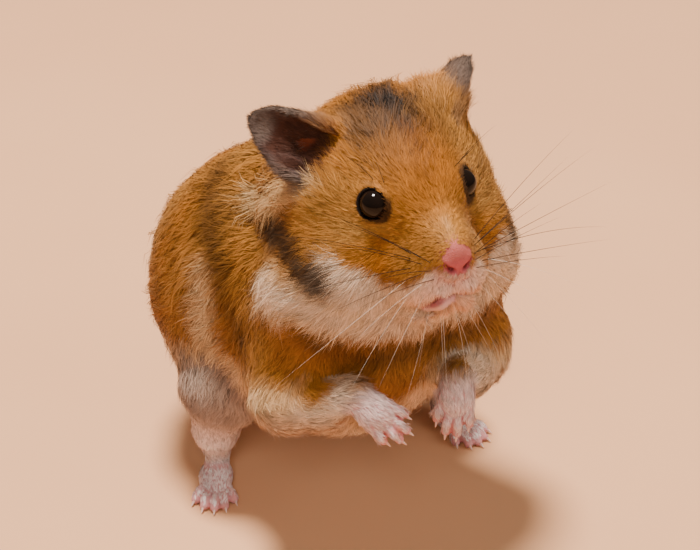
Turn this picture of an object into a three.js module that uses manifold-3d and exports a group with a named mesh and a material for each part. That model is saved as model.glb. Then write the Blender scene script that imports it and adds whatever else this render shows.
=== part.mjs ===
// A Syrian hamster standing on its hind feet, forepaws held in front of its chest, at life size.
// Millimetres, +Z up. The animal faces -Y, its left side is +X and the floor is Z = 0. Masses and limbs
// reach out to the tips of the coat. Everything is first laid out round a point between the hind feet,
// and the finished group is then moved so that its origin is under the middle of its box.
import * as THREE from "three";
import { mergeVertices } from "three/addons/utils/BufferGeometryUtils.js";
import Module from "manifold-3d";

const wasm = await Module();
wasm.setup();

// Driving dimensions
const GAP = 0.3; // clearance between neighbouring pieces
const BLEND = 2.2; // how softly neighbouring masses run into each other
const RAY_LIMIT = 80; // farther than any mass reaches from its piece's centre
const TOLERANCE = 1e-4; // how closely a surface point is found
const FACE = [3, -28, 89]; // midway between the eyes; the masses of head and neck are placed from here
const EYE = { at: [9.9, -0.3, 0.2], radius: 3.2 };
const SOCKET = { out: [0.78, -0.55, 0.3], offset: 2.3, radius: 4.4 }; // the dish each eyeball sits in
const NOSE = { at: [0, -15.3, -6], half: [3.1, 2.2, 3.4] };
const MOUTH = { at: [-1.5, -13.6, -16.6], half: [3.6, 3.6, 0.8] };
const CLAW = { length: 1.5, root: 0.42, tip: 0.14, bend: 0.35, lift: 0.2 };

// Masses of muscle and fur, each an ellipsoid: its centre and its half width, half length and half height.
// "pair" marks one that has a twin mirrored to the other side.
const HEAD_MASSES = {
  cranium: { at: [0, 13, -1.5], half: [16.5, 17.5, 16] },
  brow: { at: [0, 1, -1], half: [9.5, 9, 8] },
  muzzle: { at: [0, -6, -7.5], half: [6, 11, 7] },
  whisker_pad: { at: [5, -8, -13.5], half: [5.5, 7, 6], pair: true },
  chin: { at: [0, -4, -20.5], half: [7.5, 7, 6] },
  cheek: { at: [11, 7, -16], half: [13, 13, 12], pair: true },
  temple: { at: [10, 12.5, -6], half: [11.5, 12.5, 13], pair: true },
  ear_root: { at: [11.6, 15.5, 8.5], half: [5.4, 5.8, 6.4] },
};
const NECK_MASSES = {
  nape: { at: [1, 25, -6.5], half: [18.5, 17, 17] },
  throat: { at: [0, 6, -25.5], half: [17, 12, 9.5] },
  ruff: { at: [12.5, 11, -24], half: [17, 15, 14], pair: true },
  neck_side: { at: [10, 22, -12], half: [13, 17.5, 14], pair: true },
};
const TRUNK_MASSES = {
  chest: { at: [1, -12, 54], half: [27, 20, 22] },
  belly: { at: [-3, 0, 42], half: [28, 28, 25] },
  flank: { at: [6, 17, 45], half: [25, 26, 27] },
  withers: { at: [-2, 12, 66], half: [22, 20, 19.5] },
  back: { at: [-5, 12, 58], half: [28, 28, 24] },
  rump: { at: [-9, 20, 46], half: [30, 32, 31] },
};
const HEAD_CENTRE = [0, 6, -8];
const NECK_CENTRE = [0, 14, -14];
const TRUNK_CENTRE = [-3, 4, 50];

// Limbs: the points that each part's centre line runs through, with the radius at each.
const LIMBS = {
  forearm_left: { points: [[20, -24, 40], [15, -30, 41.5], [10.5, -34, 45.5]], radii: [6.5, 5.2, 3.6] },
  forearm_right: { points: [[-25, -21, 38.5], [-19, -27, 41.5], [-14, -33, 46.5]], radii: [6.8, 5.6, 3.6] },
  upper_arm_left: { points: [[16, -14, 54], [20, -19, 45.5]], radii: [12, 10.5] },
  upper_arm_right: { points: [[-15, -11, 54], [-22, -18, 41.5]], radii: [12, 8.5] },
  shank_left: { points: [[25, 5, 25], [28, 9, 14], [29.5, 10.5, 7.5]], radii: [8, 5.4, 3.6] },
  shank_right: { points: [[-28.4, 7, 26], [-28.8, 10.5, 14], [-28.2, 12, 7.5]], radii: [8.6, 6.1, 3.8] },
  thigh_left: { points: [[17, 19, 40], [26, 8, 31]], radii: [16, 9.5] },
  thigh_right: { points: [[-21, 18, 40], [-28, 7, 31]], radii: [17, 10] },
  tail: { points: [[-12, 46, 27], [-13.5, 50.5, 23], [-15, 53, 19]], radii: [4, 2.7, 1.5] },
};

// How finely each kind of piece is faceted: sides round it and rings along it.
const FACETS = {
  head: [24, 17], neck: [16, 11], trunk: [24, 15], limb: [11, 8], palm: [8, 6], digit: [6, 5], claw: [5, 4],
  ear: [12, 10], eye: [12, 8], nose: [10, 6], cut: [12, 7],
};

// Paws: the palm's or instep's length, half width and half thickness, each digit's length and radius, how
// far the outer digits fan out in degrees and how far all of them droop. "wrist" is the wrist or heel,
// "along" the way the paw points and "across" the way its digits spread.
const FOREPAW = {
  palm: 6, width: 3.9, thick: 2.5, digits: 4, reach: [3.6, 4.6, 4.6, 3.6],
  radius: 1.2, fan: 6, droop: 1,
};
const HIND_FOOT = {
  palm: 9.6, width: 4, thick: 2.3, digits: 5, reach: [3.4, 4.4, 4.7, 4.4, 3.4],
  radius: 1.2, fan: 24, droop: 0,
};
const PAWS = {
  forepaw_left: {
    ...FOREPAW, wrist: [10, -35.6, 45], along: [-0.35, -0.38, -0.86], across: [0.8, -0.58, -0.1],
  },
  forepaw_right: {
    ...FOREPAW, wrist: [-13.2, -35, 46], along: [0.57, -0.63, -0.53], across: [-0.72, -0.14, -0.68],
  },
  hind_foot_left: {
    ...HIND_FOOT, wrist: [29.5, 10.5, 1.8], along: [0.2, -0.98, 0], across: [-0.98, -0.2, 0],
  },
  hind_foot_right: {
    ...HIND_FOOT, wrist: [-28.2, 12.5, 1.8], along: [-0.41, -0.91, 0], across: [0.91, -0.41, 0],
  },
};
const PALM_SHAPE = [0.8, 0.9, 0.95]; // its half width at the wrist, the middle and the knuckles, as shares
const KNUCKLES = { spread: 0.78, ahead: 1.2, arc: 1.6, tuck: 0.3 }; // where the digits spring from the palm
const DIGIT_SHAPE = [1, 0.98, 0.8]; // its radius at the root, the joint and the tip, as shares

// Ears: thin cupped shells. "base" is the middle of the root, "along" points to the tip, "across" runs from
// edge to edge, and the hollow faces the third way. "bend" is how far round the edges come and "curl" how
// far the tip leans back, both in degrees. "aside" is how far the tip stands off the middle, as a share of
// the half width, and "roll" how far the rim of the second edge is rolled in.
const EAR = { thick: 0.75, root: 1.5, thinning: 0.7, flare: 0.25, sunk: 0.25, point: 1.5 };
const RIM = { from: 0.5, to: 1.05 }; // where the rolled rim begins and ends, as shares of the half width
const EARS = {
  ear_left: {
    base: [13.24, -11.5, 96.6], along: [0.33, 0.08, 0.94], across: [0.16, 0.97, -0.14],
    length: 14.6, width: 15.5, bend: 150, curl: -18, aside: -0.15, roll: 1.2,
  },
  ear_right: {
    base: [-11.06, -12.3, 94.1], along: [-0.87, 0.36, 0.36], across: [0.67, 0.15, 0.72],
    length: 16.6, width: 17, bend: 100, curl: 10, aside: 0.2, roll: 2.6,
  },
};

const COLOURS = {
  coat: "#b9752f", pale: "#dcc3a4", skin: "#dba6a0", ear: "#6f5a58",
  eye: "#0c0a0a", nose: "#d98d8a", claw: "#e9dccb",
};

// Distance from point p to an ellipsoidal mass, near enough to blend by.
function massDistance(p, mass, side) {
  const x = side * (p[0] - FACE[0]) - (mass.at[0] - FACE[0]);
  const y = p[1] - mass.at[1];
  const z = p[2] - mass.at[2];
  const [a, b, c] = mass.half;
  const reach = Math.hypot(x / a, y / b, z / c);
  const slope = Math.hypot(x / (a * a), y / (b * b), z / (c * c));
  return slope > 0 ? (reach * (reach - 1)) / slope : -Math.min(a, b, c);
}

// Smooth union of a group of masses: negative inside, positive outside.
function field(p, masses) {
  let sum = 0;
  for (const mass of masses)
    for (const side of mass.pair ? [1, -1] : [1]) sum += Math.exp(-massDistance(p, mass, side) / BLEND);
  return -BLEND * Math.log(sum);
}

// A sphere whose points are pushed along their rays from the centre until they meet the blended masses.
function wrap({ centre, masses, facets }, grow = 0) {
  const geometry = new THREE.SphereGeometry(1, ...facets).rotateX(Math.PI / 2);
  const place = geometry.attributes.position;
  const ray = new THREE.Vector3();
  for (let i = 0; i < place.count; i++) {
    ray.fromBufferAttribute(place, i);
    const at = (reach) => centre.map((c, k) => c + ray.getComponent(k) * reach);
    let inside = 0;
    let outside = RAY_LIMIT;
    while (outside - inside > TOLERANCE) {
      const middle = (inside + outside) / 2;
      if (field(at(middle), masses) < grow) inside = middle;
      else outside = middle;
    }
    place.setXYZ(i, ...at(inside));
  }
  return geometry;
}

// A round-ended tube along a smooth line through the given points, with a radius at each of them.
// "across" turns the section's wide side that way, and "flat" is its thickness as a share of its width.
function limb({ points, radii, facets, across = [1, 0, 0], flat = 1 }, grow = 0) {
  const line = points.map((p) => new THREE.Vector3(...p));
  const curve = new THREE.CatmullRomCurve3(line, false, "centripetal");
  const stops = radii.map((r, i) => new THREE.Vector2(i / (radii.length - 1), r + grow));
  const girths = new THREE.SplineCurve(stops);
  const startCap = radii[0] + grow;
  const endCap = radii.at(-1) + grow;
  const core = curve.getLength();
  const geometry = new THREE.SphereGeometry(1, ...facets);
  const place = geometry.attributes.position;
  const unit = new THREE.Vector3();
  const wide = new THREE.Vector3();
  const thick = new THREE.Vector3();
  for (let i = 0; i < place.count; i++) {
    unit.fromBufferAttribute(place, i);
    const along = ((1 - unit.y) / 2) * (core + startCap + endCap) - startCap;
    const share = THREE.MathUtils.clamp(along / core, 0, 1);
    const beyond = along < 0 ? along : Math.max(0, along - core);
    const cap = along < 0 ? startCap : endCap;
    const rounded = Math.sqrt(Math.max(0, cap ** 2 - beyond ** 2));
    const girth = beyond === 0 ? girths.getPoint(share).y : rounded;
    const tangent = curve.getTangent(share);
    wide.set(...across);
    wide.addScaledVector(tangent, -tangent.dot(wide)).normalize();
    thick.crossVectors(tangent, wide);
    const round = Math.hypot(unit.x, unit.z) || 1;
    const point = curve.getPoint(share).addScaledVector(tangent, beyond);
    point.addScaledVector(wide, (girth * unit.x) / round);
    point.addScaledVector(thick, (girth * flat * unit.z) / round);
    place.setXYZ(i, ...point);
  }
  return geometry;
}

// A flattened sphere bent into a cup: a pointed leaf of the given width and length that stands on a wide
// root, curved round its long axis. Below the root it is closed by a part sunk in the head.
function cup({ base, along, across, length, width, bend, curl, aside, roll }, grow = 0) {
  const up = new THREE.Vector3(...along).normalize();
  const wide = new THREE.Vector3(...across);
  wide.addScaledVector(up, -up.dot(wide)).normalize();
  const deep = new THREE.Vector3().crossVectors(wide, up);
  const half = THREE.MathUtils.degToRad(bend) / 2;
  const lean = length * Math.sin(THREE.MathUtils.degToRad(curl));
  const geometry = new THREE.SphereGeometry(1, ...FACETS.ear).rotateX(Math.PI / 2);
  const place = geometry.attributes.position;
  for (let i = 0; i < place.count; i++) {
    const [x, y, height] = [place.getX(i), place.getY(i), place.getZ(i)];
    const ring = Math.hypot(x, y) || 1;
    const rise = ((height + 1) / 2) * (1 + EAR.sunk) - EAR.sunk;
    const above = Math.max(0, rise);
    const pointed = Math.max(0, 1 - above ** EAR.point) ** (1 / EAR.point);
    const span = rise > 0 ? pointed : Math.sqrt(Math.max(0, 1 - (rise / EAR.sunk) ** 2));
    const edge = (x / ring) * span + aside * above;
    const face = y / ring;
    const layer = (EAR.thick + grow) * face * (EAR.root - EAR.thinning * above);
    const rolled = roll * THREE.MathUtils.smoothstep(edge, RIM.from, RIM.to);
    const radius = (width / 2 / half) * (1 + EAR.flare * rise);
    const reach = radius + layer - rolled;
    const turn = edge * half + (grow * x) / ring / radius;
    const point = new THREE.Vector3(...base).addScaledVector(up, length * rise + grow * height);
    point.addScaledVector(wide, reach * Math.sin(turn));
    point.addScaledVector(deep, radius - reach * Math.cos(turn) - lean * above ** 2);
    place.setXYZ(i, ...point);
  }
  return geometry;
}

function ellipsoid({ at, half, facets }, grow = 0) {
  return new THREE.SphereGeometry(1, ...facets).scale(...half.map((h) => h + grow)).translate(...at);
}

// A closed geometry as a solid that can be joined and cut.
function solid(geometry) {
  geometry.deleteAttribute("normal");
  geometry.deleteAttribute("uv");
  const shape = mergeVertices(geometry, 1e-3);
  const triVerts = new Uint32Array(shape.index.array);
  const vertProperties = shape.attributes.position.array;
  return new wasm.Manifold(new wasm.Mesh({ numProp: 3, vertProperties, triVerts }));
}

// A piece and its room: the same shape grown by the gap, which its neighbours are cut back to.
const piece = (make, shape) => ({ body: solid(make(shape)), room: solid(make(shape, GAP)) });
const joined = (pieces) => ({
  body: pieces.map((p) => p.body).reduce((all, next) => all.add(next)),
  room: pieces.map((p) => p.room).reduce((all, next) => all.add(next)),
});
const fromFace = (p, side = 1) => [FACE[0] + side * p[0], FACE[1] + p[1], FACE[2] + p[2]];
const placed = (masses) => Object.values(masses).map((mass) => ({ ...mass, at: fromFace(mass.at) }));

// A paw: a flattened palm or instep with its digits, and the claws that tip them.
function paw({ wrist, along, across, palm, width, thick, digits, reach, radius, fan, droop }) {
  const forward = new THREE.Vector3(...along).normalize();
  const wide = new THREE.Vector3(...across);
  wide.addScaledVector(forward, -forward.dot(wide)).normalize();
  const down = new THREE.Vector3().crossVectors(wide, forward);
  if (down.z > 0) down.negate();
  const at = (f, w, d) => wrist.map(
    (c, k) => c + f * forward.getComponent(k) + w * wide.getComponent(k) + d * down.getComponent(k));
  const flesh = [
    piece(limb, {
      points: [at(0, 0, 0), at(palm / 2, 0, 0), at(palm, 0, KNUCKLES.tuck)],
      radii: PALM_SHAPE.map((share) => share * width),
      facets: FACETS.palm, across: wide.toArray(), flat: thick / width,
    }),
  ];
  const claws = [];
  const sink = thick - radius + droop;
  for (let i = 0; i < digits; i++) {
    const spread = (2 * i) / (digits - 1) - 1;
    const slant = THREE.MathUtils.degToRad(fan * spread);
    const knuckle = palm + KNUCKLES.ahead - KNUCKLES.arc * spread ** 2;
    const joint = (far, low) =>
      at(knuckle + far * Math.cos(slant), width * KNUCKLES.spread * spread + far * Math.sin(slant), low);
    flesh.push(piece(limb, {
      points: [joint(-1, KNUCKLES.tuck), joint(reach[i] / 2, sink / 3), joint(reach[i], sink)],
      radii: DIGIT_SHAPE.map((share) => share * radius), facets: FACETS.digit,
    }));
    const claw = reach[i] + CLAW.root;
    claws.push({
      points: [joint(claw, sink - CLAW.lift), joint(claw + CLAW.length / 2, sink - CLAW.lift / 2),
        joint(claw + CLAW.length, sink + CLAW.bend)],
      radii: [CLAW.root, (CLAW.root + CLAW.tip) / 2, CLAW.tip], facets: FACETS.claw,
    });
  }
  return { flesh: joined(flesh), claws: claws.map((shape) => piece(limb, shape)) };
}

// Everything under the floor's level, to cut the soles flat.
const FLOOR_SLAB = { span: 200, depth: 20 };
const slab = new THREE.BoxGeometry(FLOOR_SLAB.span, FLOOR_SLAB.span, FLOOR_SLAB.depth);
const underfoot = solid(slab.translate(0, 0, -FLOOR_SLAB.depth / 2));

const pieces = new Map();
const lookOf = new Map();
const keep = (name, made, colour, roughness) => {
  pieces.set(name, made);
  lookOf.set(name, { colour: COLOURS[colour], roughness });
};

const ball = (radius) => [radius, radius, radius];
for (const [side, sign] of [["left", 1], ["right", -1]]) {
  const eye = { at: fromFace(EYE.at, sign), half: ball(EYE.radius), facets: FACETS.eye };
  keep(`eye_${side}`, piece(ellipsoid, eye), "eye", 0.08);
}
keep("nose", piece(ellipsoid, { at: fromFace(NOSE.at), half: NOSE.half, facets: FACETS.nose }), "nose", 0.55);
for (const [name, shape] of Object.entries(EARS)) keep(name, piece(cup, shape), "ear", 0.8);
for (const [name, shape] of Object.entries(PAWS)) {
  const made = paw(shape);
  made.claws.forEach((claw, i) => keep(`claw_${name}_${i + 1}`, claw, "claw", 0.4));
  keep(name, made.flesh, "skin", 0.7);
}
const BODY = {
  head: { centre: fromFace(HEAD_CENTRE), masses: placed(HEAD_MASSES), facets: FACETS.head },
  neck: { centre: fromFace(NECK_CENTRE), masses: placed(NECK_MASSES), facets: FACETS.neck },
  trunk: { centre: TRUNK_CENTRE, masses: Object.values(TRUNK_MASSES), facets: FACETS.trunk },
};
for (const [name, shape] of Object.entries(BODY))
  keep(name, piece(wrap, shape), name === "neck" ? "pale" : "coat", 0.9);
for (const [name, line] of Object.entries(LIMBS)) {
  const colour = name.startsWith("upper_arm") ? "coat" : "pale";
  keep(name, piece(limb, { ...line, facets: FACETS.limb }), colour, 0.9);
}

const sockets = [1, -1].map((sign) => {
  const out = new THREE.Vector3(...SOCKET.out).normalize().multiplyScalar(SOCKET.offset);
  const at = fromFace([EYE.at[0] + out.x, EYE.at[1] + out.y, EYE.at[2] + out.z], sign);
  return solid(ellipsoid({ at, half: ball(SOCKET.radius), facets: FACETS.cut }));
});
const mouth = solid(ellipsoid({ at: fromFace(MOUTH.at), half: MOUTH.half, facets: FACETS.cut }));
const largest = (shape) => shape.decompose().sort((a, b) => b.volume() - a.volume())[0];

const group = new THREE.Group();
const taken = [];
for (const [name, { body, room }] of pieces) {
  let shape = taken.reduce((left, other) => left.subtract(other), body).subtract(underfoot);
  if (name === "head") shape = [mouth, ...sockets].reduce((left, cut) => left.subtract(cut), shape);
  const mesh = largest(shape).getMesh();
  taken.push(room);
  const geometry = new THREE.BufferGeometry()
    .setAttribute("position", new THREE.BufferAttribute(new Float32Array(mesh.vertProperties), 3))
    .setIndex(new THREE.BufferAttribute(new Uint32Array(mesh.triVerts), 1));
  geometry.computeVertexNormals();
  const { colour: color, roughness } = lookOf.get(name);
  const node = new THREE.Mesh(geometry, new THREE.MeshStandardMaterial({ color, roughness, metalness: 0 }));
  node.name = name;
  group.add(node);
}

const box = new THREE.Box3().setFromObject(group);
group.position.set(-(box.min.x + box.max.x) / 2, -(box.min.y + box.max.y) / 2, -box.min.z);

export default group;
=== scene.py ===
"""The looks of a Syrian hamster that stands on its hind feet with both forepaws before its chest.

Sizes are in millimetres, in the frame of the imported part: +Z up, the animal faces -Y and its left side
is +X. They become metres where a mesh is made. The flesh is one skin: the zero level of a field that
blends rounded masses, tubes and ears. The coat is solid tufts rooted on that skin.
"""
import bpy
import numpy as np
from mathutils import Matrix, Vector


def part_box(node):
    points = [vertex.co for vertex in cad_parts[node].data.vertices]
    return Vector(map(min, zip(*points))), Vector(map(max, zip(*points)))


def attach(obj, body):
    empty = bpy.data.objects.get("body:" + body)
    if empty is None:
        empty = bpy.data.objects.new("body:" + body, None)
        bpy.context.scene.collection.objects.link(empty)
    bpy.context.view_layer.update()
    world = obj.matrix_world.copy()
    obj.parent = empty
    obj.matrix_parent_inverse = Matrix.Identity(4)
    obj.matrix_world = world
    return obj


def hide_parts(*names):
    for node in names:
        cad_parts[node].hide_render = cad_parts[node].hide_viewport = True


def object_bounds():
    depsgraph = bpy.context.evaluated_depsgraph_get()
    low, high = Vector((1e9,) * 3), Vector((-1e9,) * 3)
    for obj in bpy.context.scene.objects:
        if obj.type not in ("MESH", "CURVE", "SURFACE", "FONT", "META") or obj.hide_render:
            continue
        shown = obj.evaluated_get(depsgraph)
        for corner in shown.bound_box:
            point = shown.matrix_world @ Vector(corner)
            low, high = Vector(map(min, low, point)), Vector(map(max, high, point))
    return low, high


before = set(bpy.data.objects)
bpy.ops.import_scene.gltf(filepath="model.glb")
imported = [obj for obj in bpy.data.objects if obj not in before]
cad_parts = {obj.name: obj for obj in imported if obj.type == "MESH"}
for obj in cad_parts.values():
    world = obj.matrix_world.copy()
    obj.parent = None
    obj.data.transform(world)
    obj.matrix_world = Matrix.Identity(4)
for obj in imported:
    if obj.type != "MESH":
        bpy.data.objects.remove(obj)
cad_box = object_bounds()

MM = 0.001
SEED = 20


def unit(v):
    """Vectors divided by their lengths."""
    v = np.asarray(v, float)
    return v / np.maximum(np.linalg.norm(v, axis=-1, keepdims=True), 1e-9)


def dot(a, b):
    """Row by row products of two arrays of vectors."""
    return (a * b).sum(-1)


def middle(node):
    """The middle of a CAD node's box."""
    low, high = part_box(node)
    return (np.array(low) + np.array(high)) / 2 / MM


def step_up(x, low, high):
    """A smooth step from 0 at low to 1 at high."""
    t = np.clip((x - low) / (high - low), 0, 1)
    return t * t * (3 - 2 * t)


def tone(code):
    """A colour written as six hexadecimal digits, in linear light."""
    c = np.array([int(code[i:i + 2], 16) for i in (0, 2, 4)]) / 255
    return np.where(c <= 0.04045, c / 12.92, ((c + 0.055) / 1.055) ** 2.4)


# ---- masses of flesh

EYES = {"left": middle("eye_left"), "right": middle("eye_right")}
FACE = (EYES["left"] + EYES["right"]) / 2
EYE_RADIUS = 3.2
# For the left eye: the way it looks, and roughly the way from it to the nose.
EYE_OUT = [0.78, -0.55, 0.3]
EYE_NASAL = [-0.35, -0.85, -0.4]

# Ellipsoids: the centre, the half sizes out to the tips of the coat, the coat's depth there, and
# whether there is one on each side.
HEAD_MASSES = [  # centres from the middle of the face, as for the neck
    ([0, 13, -1.5], [16.5, 17.5, 16], 1.9, False),
    ([0, 1, -1], [9.5, 9, 8], 1.1, False),
    ([0, -6, -7.5], [6, 11, 7], 0.6, False),
    ([4.6, -8.2, -13.3], [5.6, 6.8, 5.8], 0.7, True),
    ([0, -4.5, -20.3], [6.6, 6.6, 5.2], 0.8, False),
    ([11, 7, -16], [13, 13, 12], 2.0, True),
    ([10, 12.5, -6], [11.5, 12.5, 13], 1.8, True),
    ([11.6, 15.5, 8.5], [5.4, 5.8, 6.4], 1.2, False),
]
NECK_MASSES = [
    ([1, 25, -6.5], [18.5, 17, 17], 2.8, False),
    ([0, 6, -25.5], [17, 12, 9.5], 2.6, False),
    ([12.5, 11, -24], [17, 15, 14], 3.0, True),
    ([10, 22, -12], [13, 17.5, 14], 2.6, True),
]
TRUNK_MASSES = [  # centres from the frame's origin
    ([1.7, -16.5, 54], [27, 20, 22], 2.6, False),
    ([-2.3, -4.5, 42], [28, 28, 25], 2.8, False),
    ([6.7, 12.5, 45], [25, 26, 27], 3.2, False),
    ([-1.3, 7.5, 66], [22, 20, 19.5], 3.0, False),
    ([-4.3, 7.5, 58], [28, 28, 24], 3.2, False),
    ([-8.3, 15.5, 46], [30, 32, 31], 3.2, False),
]
# Tubes: the points on the centre line, the radius at each, and the coat's depth.
TUBES = {
    "upper_arm_left": ([[16.7, -18.5, 54], [20.7, -23.5, 45.5]], [12, 10.5], 2.4),
    "upper_arm_right": ([[-14.3, -15.5, 54], [-21.3, -22.5, 41.5]], [12, 8.5], 2.2),
    "forearm_left": ([[20.7, -28.5, 40], [15.7, -34.5, 41.5], [11.2, -38.5, 45.5]], [6.5, 5.2, 3.4], 1.0),
    "forearm_right": (
        [[-23.6, -25.5, 40], [-18.3, -31.5, 41.8], [-13.3, -37.5, 46.5]], [5.9, 5.2, 3.4], 1.0),
    "thigh_left": ([[17.7, 14.5, 40], [26.7, 3.5, 31]], [16, 9.5], 2.4),
    "thigh_right": ([[-20.3, 13.5, 40], [-27.3, 2.5, 31]], [17, 10], 2.4),
    "shank_left": ([[25.7, 0.5, 25], [28.7, 4.5, 14], [30.2, 6, 5]], [8, 5.4, 2.9], 0.9),
    "shank_right": ([[-27.7, 2.5, 26], [-28.1, 6, 14], [-27.5, 7.5, 5]], [8.6, 5.6, 3.3], 0.9),
    "tail": ([[-11.3, 41.5, 27], [-12.8, 46, 23], [-14.3, 48.5, 19]], [3.6, 2.5, 1.4], 0.3),
}
# Paws: the palm's length, half width and half thickness, each digit's length, and the digits' radius,
# fan in degrees and droop.
FOREPAW = dict(palm=6, width=3.7, thick=2.3, reach=[3.6, 4.6, 4.6, 3.6], radius=1.0, fan=9, droop=1)
HIND_FOOT = dict(
    palm=9.6, width=3.8, thick=2.1, reach=[3.4, 4.4, 4.7, 4.4, 3.4], radius=1.05, fan=24, droop=0)
KNUCKLE_AHEAD, KNUCKLE_ARC, KNUCKLE_ROW, KNUCKLE_SINK, JOINT_SINK = 1.2, 1.6, 3.042, 0.2, 0.2
PALM_MIDDLE, DIGIT_SWELL = 0.52, np.array([0.95, 0.85, 0.92])
PAWS = {  # wrist, way along, way across, and sizes
    "forepaw_left": ([10.66, -40.1, 45], [-0.35, -0.38, -0.86], [0.8, -0.58, -0.1], FOREPAW),
    "forepaw_right": ([-12.54, -39.5, 46], [0.57, -0.63, -0.53], [-0.72, -0.14, -0.68], FOREPAW),
    "hind_foot_left": ([30.16, 6, 1.9], [0.2, -0.98, 0], [-0.98, -0.2, 0], HIND_FOOT),
    "hind_foot_right": ([-27.54, 8, 1.9], [-0.41, -0.91, 0], [0.91, -0.41, 0], HIND_FOOT),
}
EARS = {  # root, way to the tip, way across, length, width, bend round, lean back, and the tip's lean aside
    "ear_left": ([13.9, -16, 96.6], [0.33, 0.08, 0.94], [0.16, 0.97, -0.14], 14.6, 15.5, 150, -18, -0.15),
    "ear_right": ([-10.4, -16.8, 94.1], [-0.87, 0.36, 0.36], [0.67, 0.15, 0.72], 16.6, 17, 100, 10, 0.2),
}
EAR_THICK = 0.42
EAR_ROLL = {"ear_left": 1.2, "ear_right": 2.6}  # how far one edge rolls forward
EAR_ROOT = {"ear_left": 0.5, "ear_right": 0.02}  # how far up the head's orange coat climbs
EAR_RIDGES = [  # height, place from edge to edge, lean, half width, and place from root to tip
    (0.9, 0.15, 0.3, 0.13, 0.3), (0.7, -0.45, 0, 0.12, 0.22)]
LID_ROUND, LID_HALF, LID_AHEAD, LID_RADIUS = (3.4, 3.3), (3.35, 3.25), 0.8, 0.36
FAR = 60.0
BLEND = {  # softness of the unions
    "body": 2.4, "whole": 2.8, "limb": 2.6, "paw": 0.35, "wrist": 1.1, "ear": 1.1, "lid": 0.45}


def ellipsoid(p, at, half, axes=np.eye(3)):
    """k(k - 1)/|g|, with k the point's reach in units of the half sizes and g that of its gradient."""
    q = (p - at) @ np.asarray(axes, float).T / half
    reach = np.linalg.norm(q, axis=1)
    return reach * (reach - 1) / np.maximum(np.linalg.norm(q / half, axis=1), 1e-6)


def tube(p, points, radii, softness=1.0):
    """Distance to a chain of round cones: from each stretch's line, less the radius at the nearest point."""
    stretches = []
    for a, b, ra, rb in zip(points[:-1], points[1:], radii[:-1], radii[1:]):
        a, line = np.asarray(a, float), np.subtract(b, a)
        t = np.clip((p - a) @ line / (line @ line), 0, 1)
        stretches.append(np.linalg.norm(p - a - t[:, None] * line, axis=1) - ra - t * (rb - ra))
    return union(stretches, softness)


def union(distances, softness):
    """Smooth union: -s log of the sum of exp(-d/s), taken from the smallest so that it can't overflow."""
    near = np.min(distances, axis=0)
    return near - softness * np.log(sum(np.exp((near - d) / softness) for d in distances))


MUZZLE_TURN = 0.055


def face_place(p):
    """Offsets from the middle of the face, in a head whose muzzle is turned a little to its left."""
    q = p - FACE
    q[:, 0] -= MUZZLE_TURN * np.clip(-q[:, 1], 0, None)
    return q


def folded(p):
    """face_place with the left side of the face laid over the right, which is at negative x."""
    q = face_place(p)
    q[:, 0] = -np.abs(q[:, 0])
    return q


def masses(p, kind):
    """Distances to the ellipsoids of the head, neck or trunk, each drawn in by the coat's depth."""
    if kind == "trunk":
        return [
            ellipsoid(p, np.array(at, float), np.subtract(half, coat))
            for at, half, coat, _ in TRUNK_MASSES]
    q = face_place(p)
    return [
        ellipsoid(q, np.multiply(at, [side, 1, 1]), np.subtract(half, coat))
        for at, half, coat, paired in (HEAD_MASSES if kind == "head" else NECK_MASSES)
        for side in ((1, -1) if paired else (1,))]


def paw_axes(along, across):
    """Unit vectors forward, wide and down of a paw."""
    forward = unit(along)
    wide = unit(np.subtract(across, np.dot(across, forward) * forward))
    down = np.cross(wide, forward)
    return forward, wide, down if down[2] < 0 else -down


def digits_of(wrist, along, across, size):
    """Each digit's knuckle, joint and tip. Knuckles lie on an arc and the digits fan out from them."""
    forward, wide, down = paw_axes(along, across)
    spread = np.linspace(-1, 1, len(size["reach"]))
    slant = np.radians(size["fan"]) * spread
    far = np.array([[-1, r / 2, r] for r in size["reach"]])
    knuckle = size["palm"] + KNUCKLE_AHEAD - KNUCKLE_ARC * spread**2
    ahead = knuckle[:, None] + far * np.cos(slant)[:, None]
    aside = KNUCKLE_ROW * spread[:, None] + far * np.sin(slant)[:, None]
    sink = size["thick"] - size["radius"] + size["droop"]
    low = np.tile([KNUCKLE_SINK, JOINT_SINK * sink, sink], (len(spread), 1))
    return (
        np.asarray(wrist, float) + ahead[..., None] * forward + aside[..., None] * wide
        + low[..., None] * down)


def paw(p, wrist, along, across, size):
    """A flattened palm, with tubes for the digits that swell at the knuckle and the tip's pad."""
    axes = np.array(paw_axes(along, across))
    palm = np.asarray(wrist, float) + axes[0] * size["palm"] * PALM_MIDDLE
    half = [size["palm"] / 2 + KNUCKLE_AHEAD, size["width"], size["thick"]]
    parts = [ellipsoid(p, palm, half, axes)]
    for line in digits_of(wrist, along, across, size):
        parts.append(tube(p, line, size["radius"] * DIGIT_SWELL, 0.3))
    return union(parts, BLEND["paw"])


def ear_frame(name):
    """Unit vectors to the tip, across, and into the hollow of an ear."""
    _, along, across = EARS[name][:3]
    up = unit(along)
    wide = unit(np.subtract(across, np.dot(across, up) * up))
    return up, wide, np.cross(wide, up)


def ear_root(name):
    """The middle of an ear's root, a little in front of its sheet."""
    return np.asarray(EARS[name][0], float) + 2 * ear_frame(name)[2]


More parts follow.
